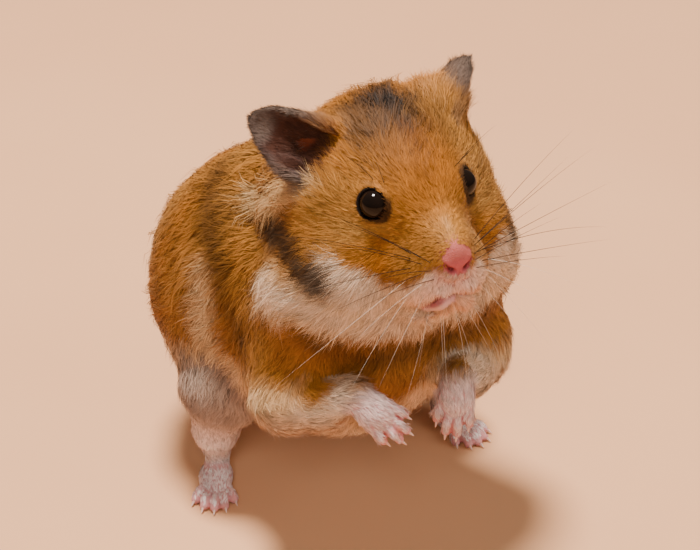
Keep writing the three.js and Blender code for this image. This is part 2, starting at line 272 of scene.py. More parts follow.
def ear_place(p, name):
    """Where a point lies in an ear: edge to edge -1..1, root to tip 0..1, and depth through its sheet."""
    base, _, _, length, width, bend, curl, _ = EARS[name]
    up, wide, deep = ear_frame(name)
    q = p - np.asarray(base, float)
    rise = q @ up / length
    turn = np.radians(bend) / 2
    radius = width / 2 / turn * (1 + 0.25 * rise)
    x = q @ wide
    d = q @ deep + length * np.sin(np.radians(curl)) * np.clip(rise, 0, 2)**2
    around = np.arctan2(x, radius - d)
    edge = around / turn
    layer = np.hypot(x, radius - d) - radius + EAR_ROLL[name] * step_up(edge, 0.5, 1.05)
    return edge, rise, -layer


def ear_reach(name, edge, rise):
    """0 at the middle of an ear's root and 1 on its outline, a pointed oval whose tip leans to one edge:
    the 1.5th powers of the ways across and up add up to 1."""
    across = np.abs(edge - EARS[name][7] * np.clip(rise, 0, 1.2))
    return (across**1.5 + np.clip(rise, 0, None)**1.5) ** (1 / 1.5)


def ear_hollow(p, name):
    """1 inside the cup of an ear, between its edges and in front of its sheet, falling to 0 at its rim."""
    edge, rise, depth = ear_place(p, name)
    inner = 1 - step_up(ear_reach(name, edge, rise), 0.8, 0.98)
    return inner * step_up(rise, -0.12, 0.02) * step_up(depth, -0.1, 0.4) * (1 - step_up(depth, 4, 6))


def ear(p, name):
    """A bent leaf: the larger of the distance to its outline and to its sheet, which is thick at the root
    and the rim and swells into a ridge in the hollow."""
    edge, rise, depth = ear_place(p, name)
    width = EARS[name][4]
    reach = ear_reach(name, edge, rise)
    outline = np.maximum((reach - 1) * width / 2, (-0.3 - rise) * width)
    thick = EAR_THICK * (1.9 - 1.1 * np.clip(rise, 0, 1)) + 0.16 * step_up(reach, 0.8, 0.95)
    ridge = sum(
        high * np.exp(-((edge - at - lean * rise) / half)**2 - ((rise - up) / 0.2)**2)
        for high, at, lean, half, up in EAR_RIDGES)
    sheet = np.abs(depth - ridge / 2) - thick - ridge / 2
    return -union([-outline, -sheet], 0.3)


def lid(p, side):
    """A round rim, an ellipse of a tube, that lies on the eyeball just in front of its widest place."""
    out, nasal, upward = eye_axes(side)
    q = p - EYES[side]
    x, y, z = q @ nasal, q @ upward, q @ out
    turn = np.arctan2(y / LID_ROUND[1], x / LID_ROUND[0])
    ring = np.stack([LID_HALF[0] * np.cos(turn), LID_HALF[1] * np.sin(turn), LID_AHEAD + 0 * turn], 1)
    return np.linalg.norm(np.stack([x, y, z], 1) - ring, axis=1) - LID_RADIUS


def eye_axes(side):
    """Unit vectors out of the eye, towards the nose and upward."""
    sign = 1 if side == "left" else -1
    out = unit(np.multiply(EYE_OUT, [sign, 1, 1]))
    nasal = np.multiply(EYE_NASAL, [sign, 1, 1])
    nasal = unit(nasal - nasal @ out * out)
    upward = np.cross(out, nasal) * -sign
    return out, nasal, upward


def near(p, at, reach):
    """Which points are within reach of a place."""
    return ((p - at)**2).sum(1) < reach**2


def part_distances(p):
    """Distance to every part on its own, by name. Far from a paw or an ear it is only a large number."""
    parts = {kind: union(masses(p, kind), BLEND["body"]) for kind in ("head", "neck", "trunk")}
    for name, (points, radii, coat) in TUBES.items():
        parts[name] = tube(p, points, np.subtract(radii, coat))
    for name, shape in (PAWS | EARS).items():
        ahead, reach = (7, 16) if name in PAWS else (8, 17)
        close = near(p, np.asarray(shape[0]) + unit(shape[1]) * ahead, reach)
        parts[name] = np.full(len(p), FAR)
        parts[name][close] = paw(p[close], *shape) if name in PAWS else ear(p[close], name)
    return parts


def skin_field(p):
    """The whole animal: its parts in smooth union, with lids added and hollows for eyes and mouth cut."""
    parts = part_distances(p)
    body = union([parts[k] for k in ("head", "neck", "trunk")], BLEND["whole"])
    body = union([body] + [parts[k] for k in TUBES], BLEND["limb"])
    for name in PAWS | EARS:
        close = parts[name] < FAR / 2
        body[close] = union([body[close], parts[name][close]], BLEND["wrist" if name in PAWS else "ear"])
    for side, at in EYES.items():
        close = near(p, at, 9)
        rim = union([body[close], lid(p[close], side)], BLEND["lid"])
        ball = np.linalg.norm(p[close] - at, axis=1) - EYE_RADIUS - 0.05
        body[close] = -union([-rim, ball], 0.12)
    return np.maximum(face_field(p, body), -p[:, 2])


NOSE = FACE + [0.8, -14.7, -6.6]
# The right half of the face: ellipsoids with their half sizes, and lines from the middle outward with
# the radius at each point. Only MOUTH and MOUTH_DEPTH, the open part, aren't mirrored to the left.
NOSE_PAD = [0, -14.2, -6.4], [3.1, 2.4, 3.2]
NOSE_WING = [-2.0, -14.9, -7.6], [1.55, 1.5, 1.5]
NOSE_RIM = [[0, -16.3, -10.4], [-1.5, -16.2, -10.1], [-2.9, -15.3, -8.6]], [0.7, 0.65, 0.5]
NOSTRIL = [[-0.9, -17.3, -9.2], [-2.0, -17.0, -8.8], [-3.0, -16.2, -7.6]], [0.36, 0.42, 0.2]
NOSTRIL_DEPTH = [[-1.3, -16.2, -8.9], [-2.2, -15.6, -8.4]], [0.5, 0.4]
CLEFT = [[0, -17.6, -7.6], [0, -17.2, -10.4], [0, -16.6, -13.6]], [0.12, 0.3, 0.42]
LIP = [[0, -15.2, -13.0], [-2.6, -14.6, -14.1], [-5.2, -12.6, -16.2]], [1.2, 1.5, 1.3]
MOUTH = (
    [[1.2, -16.1, -15.3], [-2.4, -15.9, -16.0], [-4.8, -14.3, -17.7], [-6.3, -12.6, -18.9]],
    [0.3, 0.95, 0.8, 0.3])
MOUTH_DEPTH = [[0.4, -14.0, -15.6], [-3.4, -13.0, -17.2]], [0.9, 0.9]
SHUT_LIPS = [[-0.5, -16.1, -15.3], [-3, -15.4, -16.6], [-5.2, -13.8, -18]], [0.25, 0.25, 0.15]
LOWER_LIP = [[0, -14.3, -17.5], [-2.4, -14.0, -18.3], [-4.8, -12.3, -19.8]], [1.1, 1.2, 0.9]


def face_field(p, body):
    """The body's field with nose pad and lips joined on and nostrils, cleft and mouth cut out."""
    close = near(p, FACE + [0, -10, -12], 17)
    q = folded(p[close])
    rims = [tube(q, *NOSE_RIM, 0.3), tube(q, *LIP, 0.5), tube(q, *LOWER_LIP, 0.5)]
    value = union([body[close], ellipsoid(q, *NOSE_PAD), ellipsoid(q, *NOSE_WING), *rims], 0.45)
    lines = (NOSTRIL, NOSTRIL_DEPTH, CLEFT, SHUT_LIPS)
    holes = union([tube(q, *line, 0.2) for line in lines], 0.15)
    q = face_place(p[close])
    mouth = union([tube(q, *MOUTH, 0.3), tube(q, *MOUTH_DEPTH, 0.3)], 0.3)
    body[close] = -union([-value, holes, mouth], 0.16)
    return body


# ---- the skin's mesh

CELL = 0.98  # the grid's step
BLOCK = 4  # steps to a block's side
SWELL = 0.2  # the first net lies this far out, so that it doesn't miss thin places


def sampled_field(low, high):
    """The field on a grid of nodes. Blocks far from the surface only get the sign at their middle."""
    blocks = np.ceil((high - low) / (CELL * BLOCK)).astype(int)
    corner = np.stack(np.meshgrid(*[np.arange(n) for n in blocks], indexing="ij"), -1).reshape(-1, 3)
    span = CELL * BLOCK
    coarse = skin_field(low + (corner + 0.5) * span - CELL / 2)
    fine = np.where(coarse < 0, -1.0, 1.0)[:, None, None, None] * np.ones((1, BLOCK, BLOCK, BLOCK))
    active = np.abs(coarse) < span * 1.25
    offset = np.stack(np.meshgrid(*[np.arange(BLOCK)] * 3, indexing="ij"), -1).reshape(-1, 3)
    nodes = (corner[active][:, None] * BLOCK + offset).reshape(-1, 3)
    fine[active] = skin_field(low + nodes * CELL).reshape(-1, BLOCK, BLOCK, BLOCK)
    grid = fine.reshape(*blocks, BLOCK, BLOCK, BLOCK).transpose(0, 3, 1, 4, 2, 5)
    return grid.reshape(blocks * BLOCK)


def surface_net(grid, low):
    """One point in each cell that the surface crosses, at the mean of its edge crossings, joined round
    each crossed grid edge by two triangles."""
    inside = grid < 0
    corners = np.stack(np.meshgrid([0, 1], [0, 1], [0, 1], indexing="ij"), -1).reshape(-1, 3)
    size = np.array(grid.shape) - 1
    view = lambda array, c: array[c[0]:c[0] + size[0], c[1]:c[1] + size[1], c[2]:c[2] + size[2]]
    total = sum(view(inside, c).astype(np.int8) for c in corners)
    cells = np.argwhere((total > 0) & (total < 8))
    value = np.stack([grid[tuple((cells + c).T)] for c in corners], 1)
    place = np.zeros((len(cells), 3))
    count = np.zeros(len(cells))
    for i, a in enumerate(corners):
        for j, b in enumerate(corners):
            if i < j and np.abs(a - b).sum() == 1:
                crossed = (value[:, i] < 0) != (value[:, j] < 0)
                t = value[crossed, i] / (value[crossed, i] - value[crossed, j])
                place[crossed] += a + t[:, None] * (b - a)
                count[crossed] += 1
    points = low + (cells + place / count[:, None]) * CELL
    number = np.full(size, -1, np.int64)
    number[tuple(cells.T)] = np.arange(len(cells))
    triangles = []
    for axis in range(3):
        u, v = np.eye(3, dtype=int)[[(axis + 1) % 3, (axis + 2) % 3]]
        along = np.eye(3, dtype=int)[axis]
        first = inside[tuple(slice(0, n - d) for n, d in zip(grid.shape, along))]
        second = inside[tuple(slice(d, None) for d in along)]
        edges = np.argwhere(first != second)
        edges = edges[(edges[:, axis] < size[axis]) & ((edges - u - v) >= 0).all(1) & (edges < size).all(1)]
        quad = [number[tuple((edges - s * u - t * v).T)] for s, t in ((0, 0), (1, 0), (1, 1), (0, 1))]
        quad = np.stack(quad, 1)
        flip = ~inside[tuple(edges.T)]
        quad[flip] = quad[flip][:, ::-1]
        triangles += [quad[:, [0, 1, 2]], quad[:, [0, 2, 3]]]
    return points, np.concatenate(triangles)


def refined(points, triangles, wanted):
    """Halves every edge whose two ends are wanted, and fills each triangle by how many it has halved."""
    sides = triangles[:, [[0, 1], [1, 2], [2, 0]]]
    edges, index = np.unique(np.sort(sides.reshape(-1, 2), axis=1), axis=0, return_inverse=True)
    halved = wanted[edges].all(1)
    number = np.full(len(edges), -1)
    number[halved] = len(points) + np.arange(halved.sum())
    points = np.concatenate([points, points[edges[halved]].mean(1)])
    mid = number[index.reshape(-1, 3)]
    count = (mid >= 0).sum(1)
    turn = np.where(count == 1, (mid >= 0).argmax(1), np.where(count == 2, ((mid < 0).argmax(1) + 1) % 3, 0))
    order = (np.arange(3) + turn[:, None]) % 3
    a, b, c = np.take_along_axis(triangles, order, 1).T
    ab, bc, ca = np.take_along_axis(mid, order, 1).T
    none, one, two, all_three = [count == k for k in range(4)]
    pick = lambda rows, *corners: np.stack([corner[rows] for corner in corners], 1)
    return points, np.concatenate([
        pick(none, a, b, c),
        pick(one, a, ab, c), pick(one, ab, b, c),
        pick(two, ab, b, bc), pick(two, a, ab, bc), pick(two, a, bc, c),
        pick(all_three, a, ab, ca), pick(all_three, ab, b, bc),
        pick(all_three, ca, bc, c), pick(all_three, ab, bc, ca),
    ])


def slope(p, value=None, eps=0.04):
    """The field and its gradient, by steps along each axis."""
    value = skin_field(p) if value is None else value
    return value, np.stack([skin_field(p + eps * axis) - value for axis in np.eye(3)], 1) / eps


def relaxed(points, triangles, share):
    """Each point moved part of the way to the mean of its neighbours."""
    ends = np.concatenate([triangles[:, [0, 1]], triangles[:, [1, 2]], triangles[:, [2, 0]]])
    count = np.bincount(ends[:, 0], minlength=len(points))
    mean = np.stack([np.bincount(ends[:, 0], points[ends[:, 1], k], len(points)) for k in range(3)], 1)
    return points + share * (mean / count[:, None] - points)


def settled(points, rounds=2):
    """Points moved down the gradient onto the field's zero level, by at most a cell's half at a time."""
    for _ in range(rounds):
        value, gradient = slope(points)
        size = np.maximum((gradient**2).sum(1), 0.2)
        points = points - np.clip(value / size, -CELL / 2, CELL / 2)[:, None] * gradient
    return points


def zone(p, level):
    """Where the mesh is finer: at level 1 face, ears and paws, at 2 eyes, muzzle and fingers, at 3 lips."""
    if level == 3:
        return near(p, NOSE + [0, -1, -1.5], 3.8) | near(p, FACE + [0.8, -14.5, -16.5], 5)
    fine = near(p, FACE + [0, -2, -8], 20) if level == 1 else near(p, FACE + [0, -13, -11], 9.5)
    for at in EYES.values():
        fine |= near(p, at, 4.9)
    for name, (wrist, along, _, size) in PAWS.items():
        reach = 10 if level == 1 else 6.6 if name.startswith("fore") else 0
        fine |= near(p, np.asarray(wrist) + unit(along) * (size["palm"] + (level - 1) * 2), reach)
    if level == 1:
        for base, along, _, length, *_ in EARS.values():
            fine |= near(p, np.asarray(base) + unit(along) * length * 0.5, length * 0.75)
    return fine


def make_skin():
    """The skin's points, triangles and outward normals."""
    low = np.array(cad_box[0]) / MM - 2
    high = np.array(cad_box[1]) / MM + 2
    grid = sampled_field(low, high)
    points, triangles = surface_net(grid - SWELL, low)
    points = settled(relaxed(points, triangles, 0.3))
    for level in (1, 2, 3):
        points, triangles = refined(points, triangles, zone(points, level))
        points = settled(relaxed(points, triangles, 0.25))
    _, gradient = slope(points)
    return points, triangles, unit(gradient)


# ---- markings

ORANGE, DEEP_ORANGE, PALE_ORANGE = tone("995c1c"), tone("9b5912"), tone("ac7b3e")
BROWN, UMBER = tone("2a1a10"), tone("5a3814")
CREAM, WHITE, GREY_WHITE = tone("d2ac80"), tone("e2c5aa"), tone("8f7870")
PINK, PALE_PINK, ROSE, BLOOD = tone("cf9a98"), tone("e4c8c2"), tone("b04a4c"), tone("6e1a20")
SLATE, MAUVE, RUST = tone("46301f"), tone("5c3429"), tone("64301f")
EAR_BACK, EAR_DARK, EAR_PALE, EAR_RIM = tone("64544c"), tone("482a20"), tone("4f3d38"), tone("5f4f46")
GOLD, MAUVE_HAIR, GAP_RED = tone("d8ad78"), tone("b58a86"), tone("a8484a")
# The last of these is painted light: the peach of warm light bounced from the floor onto the chin.
FOOT_WHITE, LIP_WHITE, CHIN_BOUNCE_LIGHT = tone("f6dfdb"), tone("e6b4a0"), tone("dc9f76")
BLACK, DARKEST, FOREHEAD = tone("0b0706"), tone("160d08"), tone("8c4e0a")
NOSE_PINK, NOSE_ROSE, MOUTH_RED = tone("a95a55"), tone("b4505a"), tone("a04446")


def spot(p, at, half, edge=0.35):
    """1 in the middle of an ellipsoid, falling smoothly to 0 across its edge."""
    reach = np.linalg.norm((p - np.asarray(at, float)) / half, axis=1)
    return 1 - step_up(reach, 1 - edge, 1 + edge)


def band(p, points, radius, edge=1.5):
    """1 along a line through the points, falling to 0 about a radius away."""
    d = tube(p, points, [radius] * len(points), 0.5)
    return 1 - step_up(d, -edge, edge)


def swirl(p, scale, seed):
    """Smooth noise from -1 to 1: the mean of sines along several fixed directions."""
    pick = np.random.default_rng(seed)
    total = np.zeros(len(p))
    for _ in range(6):
        way, phase = pick.normal(size=3), pick.uniform(0, 6.28)
        total += np.sin(p @ way / scale + phase)
    return total / 3.2


def painter(colour):
    """A function that lays a shade over part of the colours, as strongly as its mask says."""
    def paint(mask, shade, strength=1.0):
        """Moves the colours towards the shade by mask times strength."""
        colour[:] += (np.clip(mask, 0, 1) * strength)[:, None] * (np.asarray(shade) - colour)
    return paint


def on_part(parts, name, depth=1.5):
    """1 on a part, falling to 0 at some depth outside it."""
    return 1 - step_up(parts[name], 0.3, depth)


# Lines of the markings: FLANK ones by distance from the trunk's middle, the face's on its right half.
# BELLY_LINE gives a height for each y, JAW_LINE and THROAT_LINE for each distance from the face's middle.
TRUNK_MIDDLE = -0.5
FLANK_DARK = [[21.1, 18.1, 74.9], [25.9, 9.8, 72.4], [28.1, 3, 68.6], [29.2, -1.6, 63.7]]
FLANK_LINE = [[29.2, -1.6, 63.7], [29.4, -5.8, 55.4], [28.7, -10.5, 47.4]]
FLANK_PALE = [[32, 1.9, 59.2], [32.7, 0.5, 53.5], [33.2, -0.4, 46.4], [32.8, -1.6, 41.2]]
BELLY_LINE = [-40, -30, -24, -14, -6, 2, 8, 45], [46, 45.5, 44.5, 42.5, 41, 42.5, 38, 22]
JAW_LINE = [0, 6.4, 9, 11.7, 15, 18, 20, 24.5, 30], [-10.8, -10.5, -13, -15.5, -14, -11.5, -9, -12.5, -20]
THROAT_LINE = [0, 11, 21, 30], [-34, -32, -29, -27]
RUFF = [[-29.2, 16.5, -25.2], [-29.5, 10.6, -23.4], [-27.8, 5, -23], [-24.2, 0.2, -24], [-20, -2.7, -25.8]]
EAR_TUFT = [[-21.3, 11.7, 1.4], [-21.8, 18.6, -3.8], [-22.7, 27.2, -10], [-25.6, 33.5, -14.6]]
CHEEK_BAR = [
    [-24.9, 31.9, -15], [-23.5, 24.3, -14.9], [-25.1, 11.8, -12.8], [-24.8, 4.2, -13.7], [-23.7, 0.7, -15.1]]
# A line for painted shade: a brown band across the chest just under the ruff and chin.
CHEST_SHADE_BAND = [[-22, 0.3, -33], [-14.5, -1.8, -37.5], [-6, -3, -38], [0, -3, -38]]
# Where the belly's pale coat dips between the forelegs: by how much, and the middle of the dip.
BELLY_DIP, BELLY_MIDDLE = 8.5, -2.5
LEGS = ("thigh_left", "thigh_right", "shank_left", "shank_right")


# Spots on the face, folded onto its right: middle, half sizes, softness of the edge, shade, strength.
HEAD_SPOTS = [  # over the eye, between the eyes, cheek, under the eye, side of the head
    ([-7, 9, 12], [5, 8, 6], 0.6, UMBER, 0.7),
    ([-1, -1, 9], [2.6, 7, 5], 0.6, UMBER, 0.6),
    ([-15, -3, -9.5], [5.5, 6.5, 5.5], 0.35, DEEP_ORANGE, 0.6),
    ([-13, 0, -4], [6, 5, 3], 0.5, PALE_ORANGE, 0.7),
    ([-17, 8, -4], [7, 13, 8], 0.5, PALE_ORANGE, 0.45),
]
MUZZLE_SPOTS = [  # upper lip, forehead, bridge of the nose, both lips, and on the chin painted light: the peach of warm light bounced up from the floor
    ([0, -16, -11.5], [5, 3, 2.2], 0.5, MAUVE_HAIR, 0.8),
    ([0, 0, 6], [9, 11, 8], 0.6, FOREHEAD, 0.6),
    ([0, -11, -2.4], [1.3, 2.4, 2.0], 0.6, CREAM, 0.6),
    ([0, -14, -15], [8, 6, 5], 0.5, LIP_WHITE, 0.75),
    # painted light: warm bounce from the floor on the chin
    ([0, -15, -19], [8, 5, 3], 0.5, CHIN_BOUNCE_LIGHT, 0.8),
]
BARE_SPOTS = [  # skin of the chin, the muzzle and the upper lip, the nose and its underside
    ([0, -13, -18], [10, 8, 7.5], 0.4, LIP_WHITE * 0.8, 1),
    ([0, -13.5, -13], [7.5, 6, 5.5], 0.4, PINK, 0.9),
    ([0, -15.3, -12.5], [5, 4, 2.6], 0.5, MAUVE * 2.2, 0.6),
    ([0, -14.8, -6.8], [4.0, 4, 4.2], 0.2, NOSE_PINK, 1),
    ([0, -16.5, -8.6], [3.2, 2.5, 2.0], 0.5, NOSE_ROSE, 0.6),
]


def paint_spots(paint, face, spots):
    """Lays the spots of a table over one another in its order."""
    for at, half, edge, shade, strength in spots:
        paint(spot(face, at, half, edge), shade, strength)


def markings(p, parts):
    """The coat's colour at each point, painted in layers from the broad ones to the finer marks."""
    p = p + np.stack([swirl(p, 4, 1), swirl(p, 4, 2), swirl(p, 4, 3)], 1) * 0.9
    colour = np.tile(ORANGE, (len(p), 1))
    paint = painter(colour)
    face = folded(p)
    right = step_up(-face_place(p)[:, 0], -4, 4)
    flank = np.stack([np.abs(p[:, 0] - TRUNK_MIDDLE), p[:, 1], p[:, 2]], 1)

    paint(0.55 + 0.6 * swirl(p, 6, 5), PALE_ORANGE, 0.5)
    paint(0.2 + 0.8 * swirl(p, 5, 6), UMBER, 0.3)
    paint(step_up(p[:, 2], 58, 78) * step_up(p[:, 1], -8, 6), UMBER, 0.18)
    paint(band(flank, FLANK_DARK, 4.0, 3), UMBER, 0.92)
    paint(band(flank, FLANK_LINE, 2.2, 2), UMBER, 0.8)
    paint(band(flank, FLANK_PALE, 2.4, 2.5), CREAM, 0.85)
    paint(band(flank, FLANK_PALE[2:], 4.2, 2.5), CREAM, 0.8)
    line = np.interp(p[:, 1], *BELLY_LINE)
    aside = np.abs(p[:, 0] - BELLY_MIDDLE)
    line -= BELLY_DIP * (1 - step_up(aside, 5, 9)) * step_up(-p[:, 1], 18, 28)
    paint(1 - step_up(p[:, 2], line - 2.5, line + 2), CREAM)
    paint(1 - step_up(p[:, 2], line - 10, line - 2), WHITE, 0.8)
    # painted shade under the ruff and chin
    paint(band(face, CHEST_SHADE_BAND, 3.2, 3), BROWN, 0.5)
    top = np.where(p[:, 0] < 0, 51, 48)
    lower = 1 - step_up(p[:, 2], top - 1, top + 1)
    wrists = step_up(-p[:, 1], 35.5, 38) * lower
    for name in ("forearm_left", "forearm_right"):
        paint(on_part(parts, name, 3) * np.maximum(1 - step_up(p[:, 2], 43.5, 47.5), wrists), WHITE)
    for name in LEGS:
        thigh = on_part(parts, name, 7) * (1 - step_up(p[:, 2], 36, 42)) * step_up(p[:, 1], -17, -12)
        paint(thigh, GREY_WHITE, 0.85)
    for name in LEGS[2:]:
        paint(on_part(parts, name, 3) * (1 - step_up(p[:, 2], 17, 27)), FOOT_WHITE, 0.75)
    for name in PAWS:
        paint(on_part(parts, name, 3) * lower, PALE_PINK, 0.95)
    paint(1 - step_up(p[:, 2], 9, 22), FOOT_WHITE, 0.95)
    paint(on_part(parts, "tail", 2), PALE_PINK, 0.7)

    streaks = 1.1 + 0.5 * swirl(p, 1.6, 12)
    paint(spot(face_place(p), [0.4, 12, 14.5], [5.6, 11, 9], 0.45) * streaks, DARKEST)
    paint(spot(face_place(p), [-6, 13, 14.5], [4.6, 8, 9], 0.4) * streaks, BROWN, 0.8)
    paint_spots(paint, face, HEAD_SPOTS)
    jaw = np.interp(-face[:, 0], *JAW_LINE) - 3 * (1 - right) * step_up(-face[:, 0], 6, 14)
    throat = np.interp(-face[:, 0], *THROAT_LINE)
    pale = (1 - step_up(face[:, 2], jaw - 1, jaw + 1)) * step_up(face[:, 2], throat - 2, throat + 2)
    paint(pale * (1 - step_up(face[:, 1], 3, 8)), CREAM)
    paint(pale * (1 - step_up(face[:, 1], 1, 6)), WHITE, 0.9)
    paint(band(face, RUFF, 4.7, 1.5), CREAM)
    paint(band(face, RUFF, 3.2, 2), WHITE, 0.85)
    # painted shade: a faint darker patch where the lower cheek turns under towards the neck
    paint(spot(face, [-21.5, 0, -19.5], [4, 4, 1.6], 0.6), UMBER, 0.35)
    paint(band(face, CHEEK_BAR, 3.9, 1.8), BROWN, 0.92)
    paint(band(face, EAR_TUFT, 3.0, 1.3), GOLD, 0.95)
    paint_spots(paint, face, MUZZLE_SPOTS)
    for at in EYES.values():
        paint(1 - step_up(np.linalg.norm(p - at, axis=1), 3.9, 4.9), BROWN, 0.9)
    for name in EARS:
        edge, rise, depth = ear_place(p, name)
        own = on_part(parts, name, 2.0)
        root = EAR_ROOT[name]
        paint(own * step_up(rise, root, root + 0.2), EAR_BACK)
        rim = step_up(ear_reach(name, edge, rise), 0.92, 1.0)
        paint(own * step_up(depth, -0.3, 0.3) * step_up(rise, 0.1, 0.2), EAR_PALE, 0.95)
        paint(own * rim * step_up(rise, 0.1, 0.2), EAR_RIM, 0.5)
        paint(ear_hollow(p, name), EAR_DARK)
    return colour


def bare_skin(p, parts, colour):
    """What shows where hair is short or missing: pink nose, lips and paws, dark lids and ears."""
    # Under the hair the skin takes the coat's colour at half brightness: partly its own darker tone, partly
    # painted shade in the gaps between hairs.
    colour = colour * 0.5
    paint = painter(colour)
    face = folded(p)
    for name in PAWS:
        paint(on_part(parts, name, 1.2), PINK)
        digits = digits_of(*PAWS[name])
        for line in digits:
            paint(spot(p, line[2], [1.4] * 3, 0.5), ROSE, 0.25)
        for line in (digits[1:] + digits[:-1]) / 2:
            paint(band(p, line, 0.35, 0.5), GAP_RED, 0.85)
    for name in EARS:
        edge, rise, _ = ear_place(p, name)
        paint(on_part(parts, name, 0.9), EAR_BACK * 0.8)
        hollow = ear_hollow(p, name)
        place = np.stack([edge, rise, 0 * edge], 1)
        paint(hollow, SLATE)
        paint(hollow * (1 - step_up(ear_reach(name, edge, rise), 0.45, 0.85)), MAUVE)
        paint(hollow * spot(place, [0.2, 0.35, 0], [0.7, 0.7, 1], 0.8), RUST, 0.8)
        paint(hollow * spot(place, [-0.1, 0.02, 0], [0.4, 0.16, 1], 0.5), BLACK, 0.9)
    paint(on_part(parts, "tail", 0.8), PINK)
    paint_spots(paint, face, BARE_SPOTS)
    paint(band(face, *NOSTRIL[:1], 0.25, 0.35), BLOOD, 0.95)
    # Deep in the nostrils their own dark red is darkened further as painted shade.
    paint(band(face, *NOSTRIL_DEPTH[:1], 0.6, 0.4), BLOOD * 0.4)
    open_side = face_place(p)
    paint(band(open_side, MOUTH[0], 0.9, 0.5), MOUTH_RED)
    paint(band(open_side, MOUTH_DEPTH[0], 1.1, 0.6), BLOOD)
    paint(band(face, SHUT_LIPS[0], 0.2, 0.3), ROSE * 0.6, 0.8)
    for at in EYES.values():
        paint(1 - step_up(np.linalg.norm(p - at, axis=1), 3.75, 4.1), BLACK)
    return colour


# ---- the lie of the coat

HAIR = {  # by the start of the part's name: length, and how far it stands at the root in degrees
    "head": (6.6, 24), "neck": (8.5, 30), "trunk": (8.5, 27), "tail": (1.2, 20), "upper_arm": (6.0, 24),
    "forearm": (3.4, 22), "thigh": (4.2, 20), "shank": (2.6, 20), "forepaw": (1.5, 24),
    "hind_foot": (1.6, 15), "ear_left": (1.3, 22), "ear_right": (1.5, 22),
}
SOURCES = {  # the place that the hair of a mass runs away from, from the middle of the face
    "head": [0, -18, -2], "neck": [0, -2, -4], "trunk": [0, 4, 6],
}
BACKWARD_DOWN = np.array([0, 0.15, -0.35])
CROWN, TUFT = FACE + [0, 16, 14], FACE + [-20, 28, -10]  # the tuft behind the right ear
EAR_SWAY, TUFT_PULL, TUFT_WAY = 9, 16, unit([-0.5, 0.6, -0.6])
# Places round which the hair is longer and stands more: the reach, and by how much in length and degrees.
RISES = [
    (CROWN, (15, 5.0, 38)), *((ear_root(name), (EAR_SWAY, 1.8, 14)) for name in EARS), (TUFT, (12, 5.5, 6))]
# The share of its full length that hair has at nose and eyes, and how far from the nose it is full.
NOSE_SHARE, EYE_SHARE, FULL_LENGTH = 0.16, 0.25, 26
EAR_FRINGE = 2.6  # added at the foot of the ears


def part_shares(parts):
    """How much each part has a say at each point: exp(-d / softness), made to sum to 1."""
    names = list(parts)
    softness = np.array([3.5 if n in SOURCES else 1.5 for n in names])
    weight = np.exp(-np.clip(np.stack([parts[n] for n in names], 1), -2, 60) / softness)
    return names, weight / weight.sum(1, keepdims=True)


def closeness(p, at, reach):
    """1 at a place, falling to 0 at the reach."""
    return 1 - step_up(np.linalg.norm(p - at, axis=1), 0, reach)


def lie(p, normal, parts):
    """The way the hair runs: each part's own way in shares, laid flat on the skin and swirled a little."""
    names, share = part_shares(parts)
    way = np.zeros((len(p), 3))
    for k, name in enumerate(names):
        if name in SOURCES:
            own = unit(p - (FACE + SOURCES[name]))
            if name == "trunk":
                own = unit(own + BACKWARD_DOWN)
        elif name in TUBES:
            line = TUBES[name][0]
            own = unit(np.subtract(line[-1], line[0]))
        elif name in PAWS:
            own = unit(PAWS[name][1])
        else:
            own = ear_frame(name)[0]
        way += share[:, [k]] * own
    for name in EARS:
        way += closeness(p, ear_root(name), EAR_SWAY)[:, None] * 1.2 * ear_frame(name)[0]
    way += closeness(p, TUFT, TUFT_PULL)[:, None] * 3 * TUFT_WAY
    way += np.stack([swirl(p, 5, 7), swirl(p, 5, 8), swirl(p, 5, 9)], 1) * 0.2
    return unit(way - dot(way, normal)[:, None] * normal)


def hair_measure(p, parts):
    """Length and stand of the hair: each part's own in shares, less towards nose and eyes, and more on the
    crown, at the roots of the ears and in the tuft."""
    names, share = part_shares(parts)
    own = np.array([next(v for k, v in HAIR.items() if n.startswith(k)) for n in names], float)
    length, stand = share @ own[:, 0], share @ own[:, 1]
    on_head = share[:, names.index("head")]
    from_nose = np.linalg.norm(p - NOSE, axis=1)
    length *= 1 - on_head * (1 - NOSE_SHARE) * (1 - step_up(from_nose, 1, FULL_LENGTH))
    for at in EYES.values():
        length *= EYE_SHARE + (1 - EYE_SHARE) * step_up(np.linalg.norm(p - at, axis=1), 4, 9)
    for at, (reach, longer, steeper) in RISES:
        there = closeness(p, at, reach) * (1 if at is TUFT else on_head)
        length += longer * there
        stand += steeper * there
    for name in EARS:
        low = 1 - step_up(ear_place(p, name)[1], 0.15, 0.6)
        length += EAR_FRINGE * low * share[:, names.index(name)]
    return length, stand


BARE_NOSE = [0, -15.2, -7.2], [3.3, 3.4, 3.6]
BARE_MOUTH = [0.9, 1.6, 1.4, 0.7]  # the radius at each point of MOUTH
BARE_GAP = [0.3, 0.45, 0.45]  # the radius along the gap between two digits
BARE_EYE, BARE_TIP, BARE_SOLE, EAR_DEEP = 3.85, 1.5, 0.6, 0.35


def bare(p):
    """Where no hair grows: eyes and lids, nose, mouth, between and at the tips of the digits, the deep of
    the ears, and soles."""
    gone = np.zeros(len(p), bool)
    for at in EYES.values():
        gone |= near(p, at, BARE_EYE)
    q = folded(p)
    gone |= ellipsoid(q, *BARE_NOSE) < 0
    gone |= tube(face_place(p), MOUTH[0], BARE_MOUTH) < 0
    for shape in PAWS.values():
        digits = digits_of(*shape)
        for line in digits:
            gone |= near(p, line[2], BARE_TIP)
        for line in (digits[1:] + digits[:-1]) / 2:
            gone |= tube(p, line, BARE_GAP) < 0
    for name in EARS:
        gone |= (ear_hollow(p, name) > 0.5) & (ear_reach(name, *ear_place(p, name)[:2]) < EAR_DEEP)
    return gone | (p[:, 2] < BARE_SOLE)


# ---- meshes

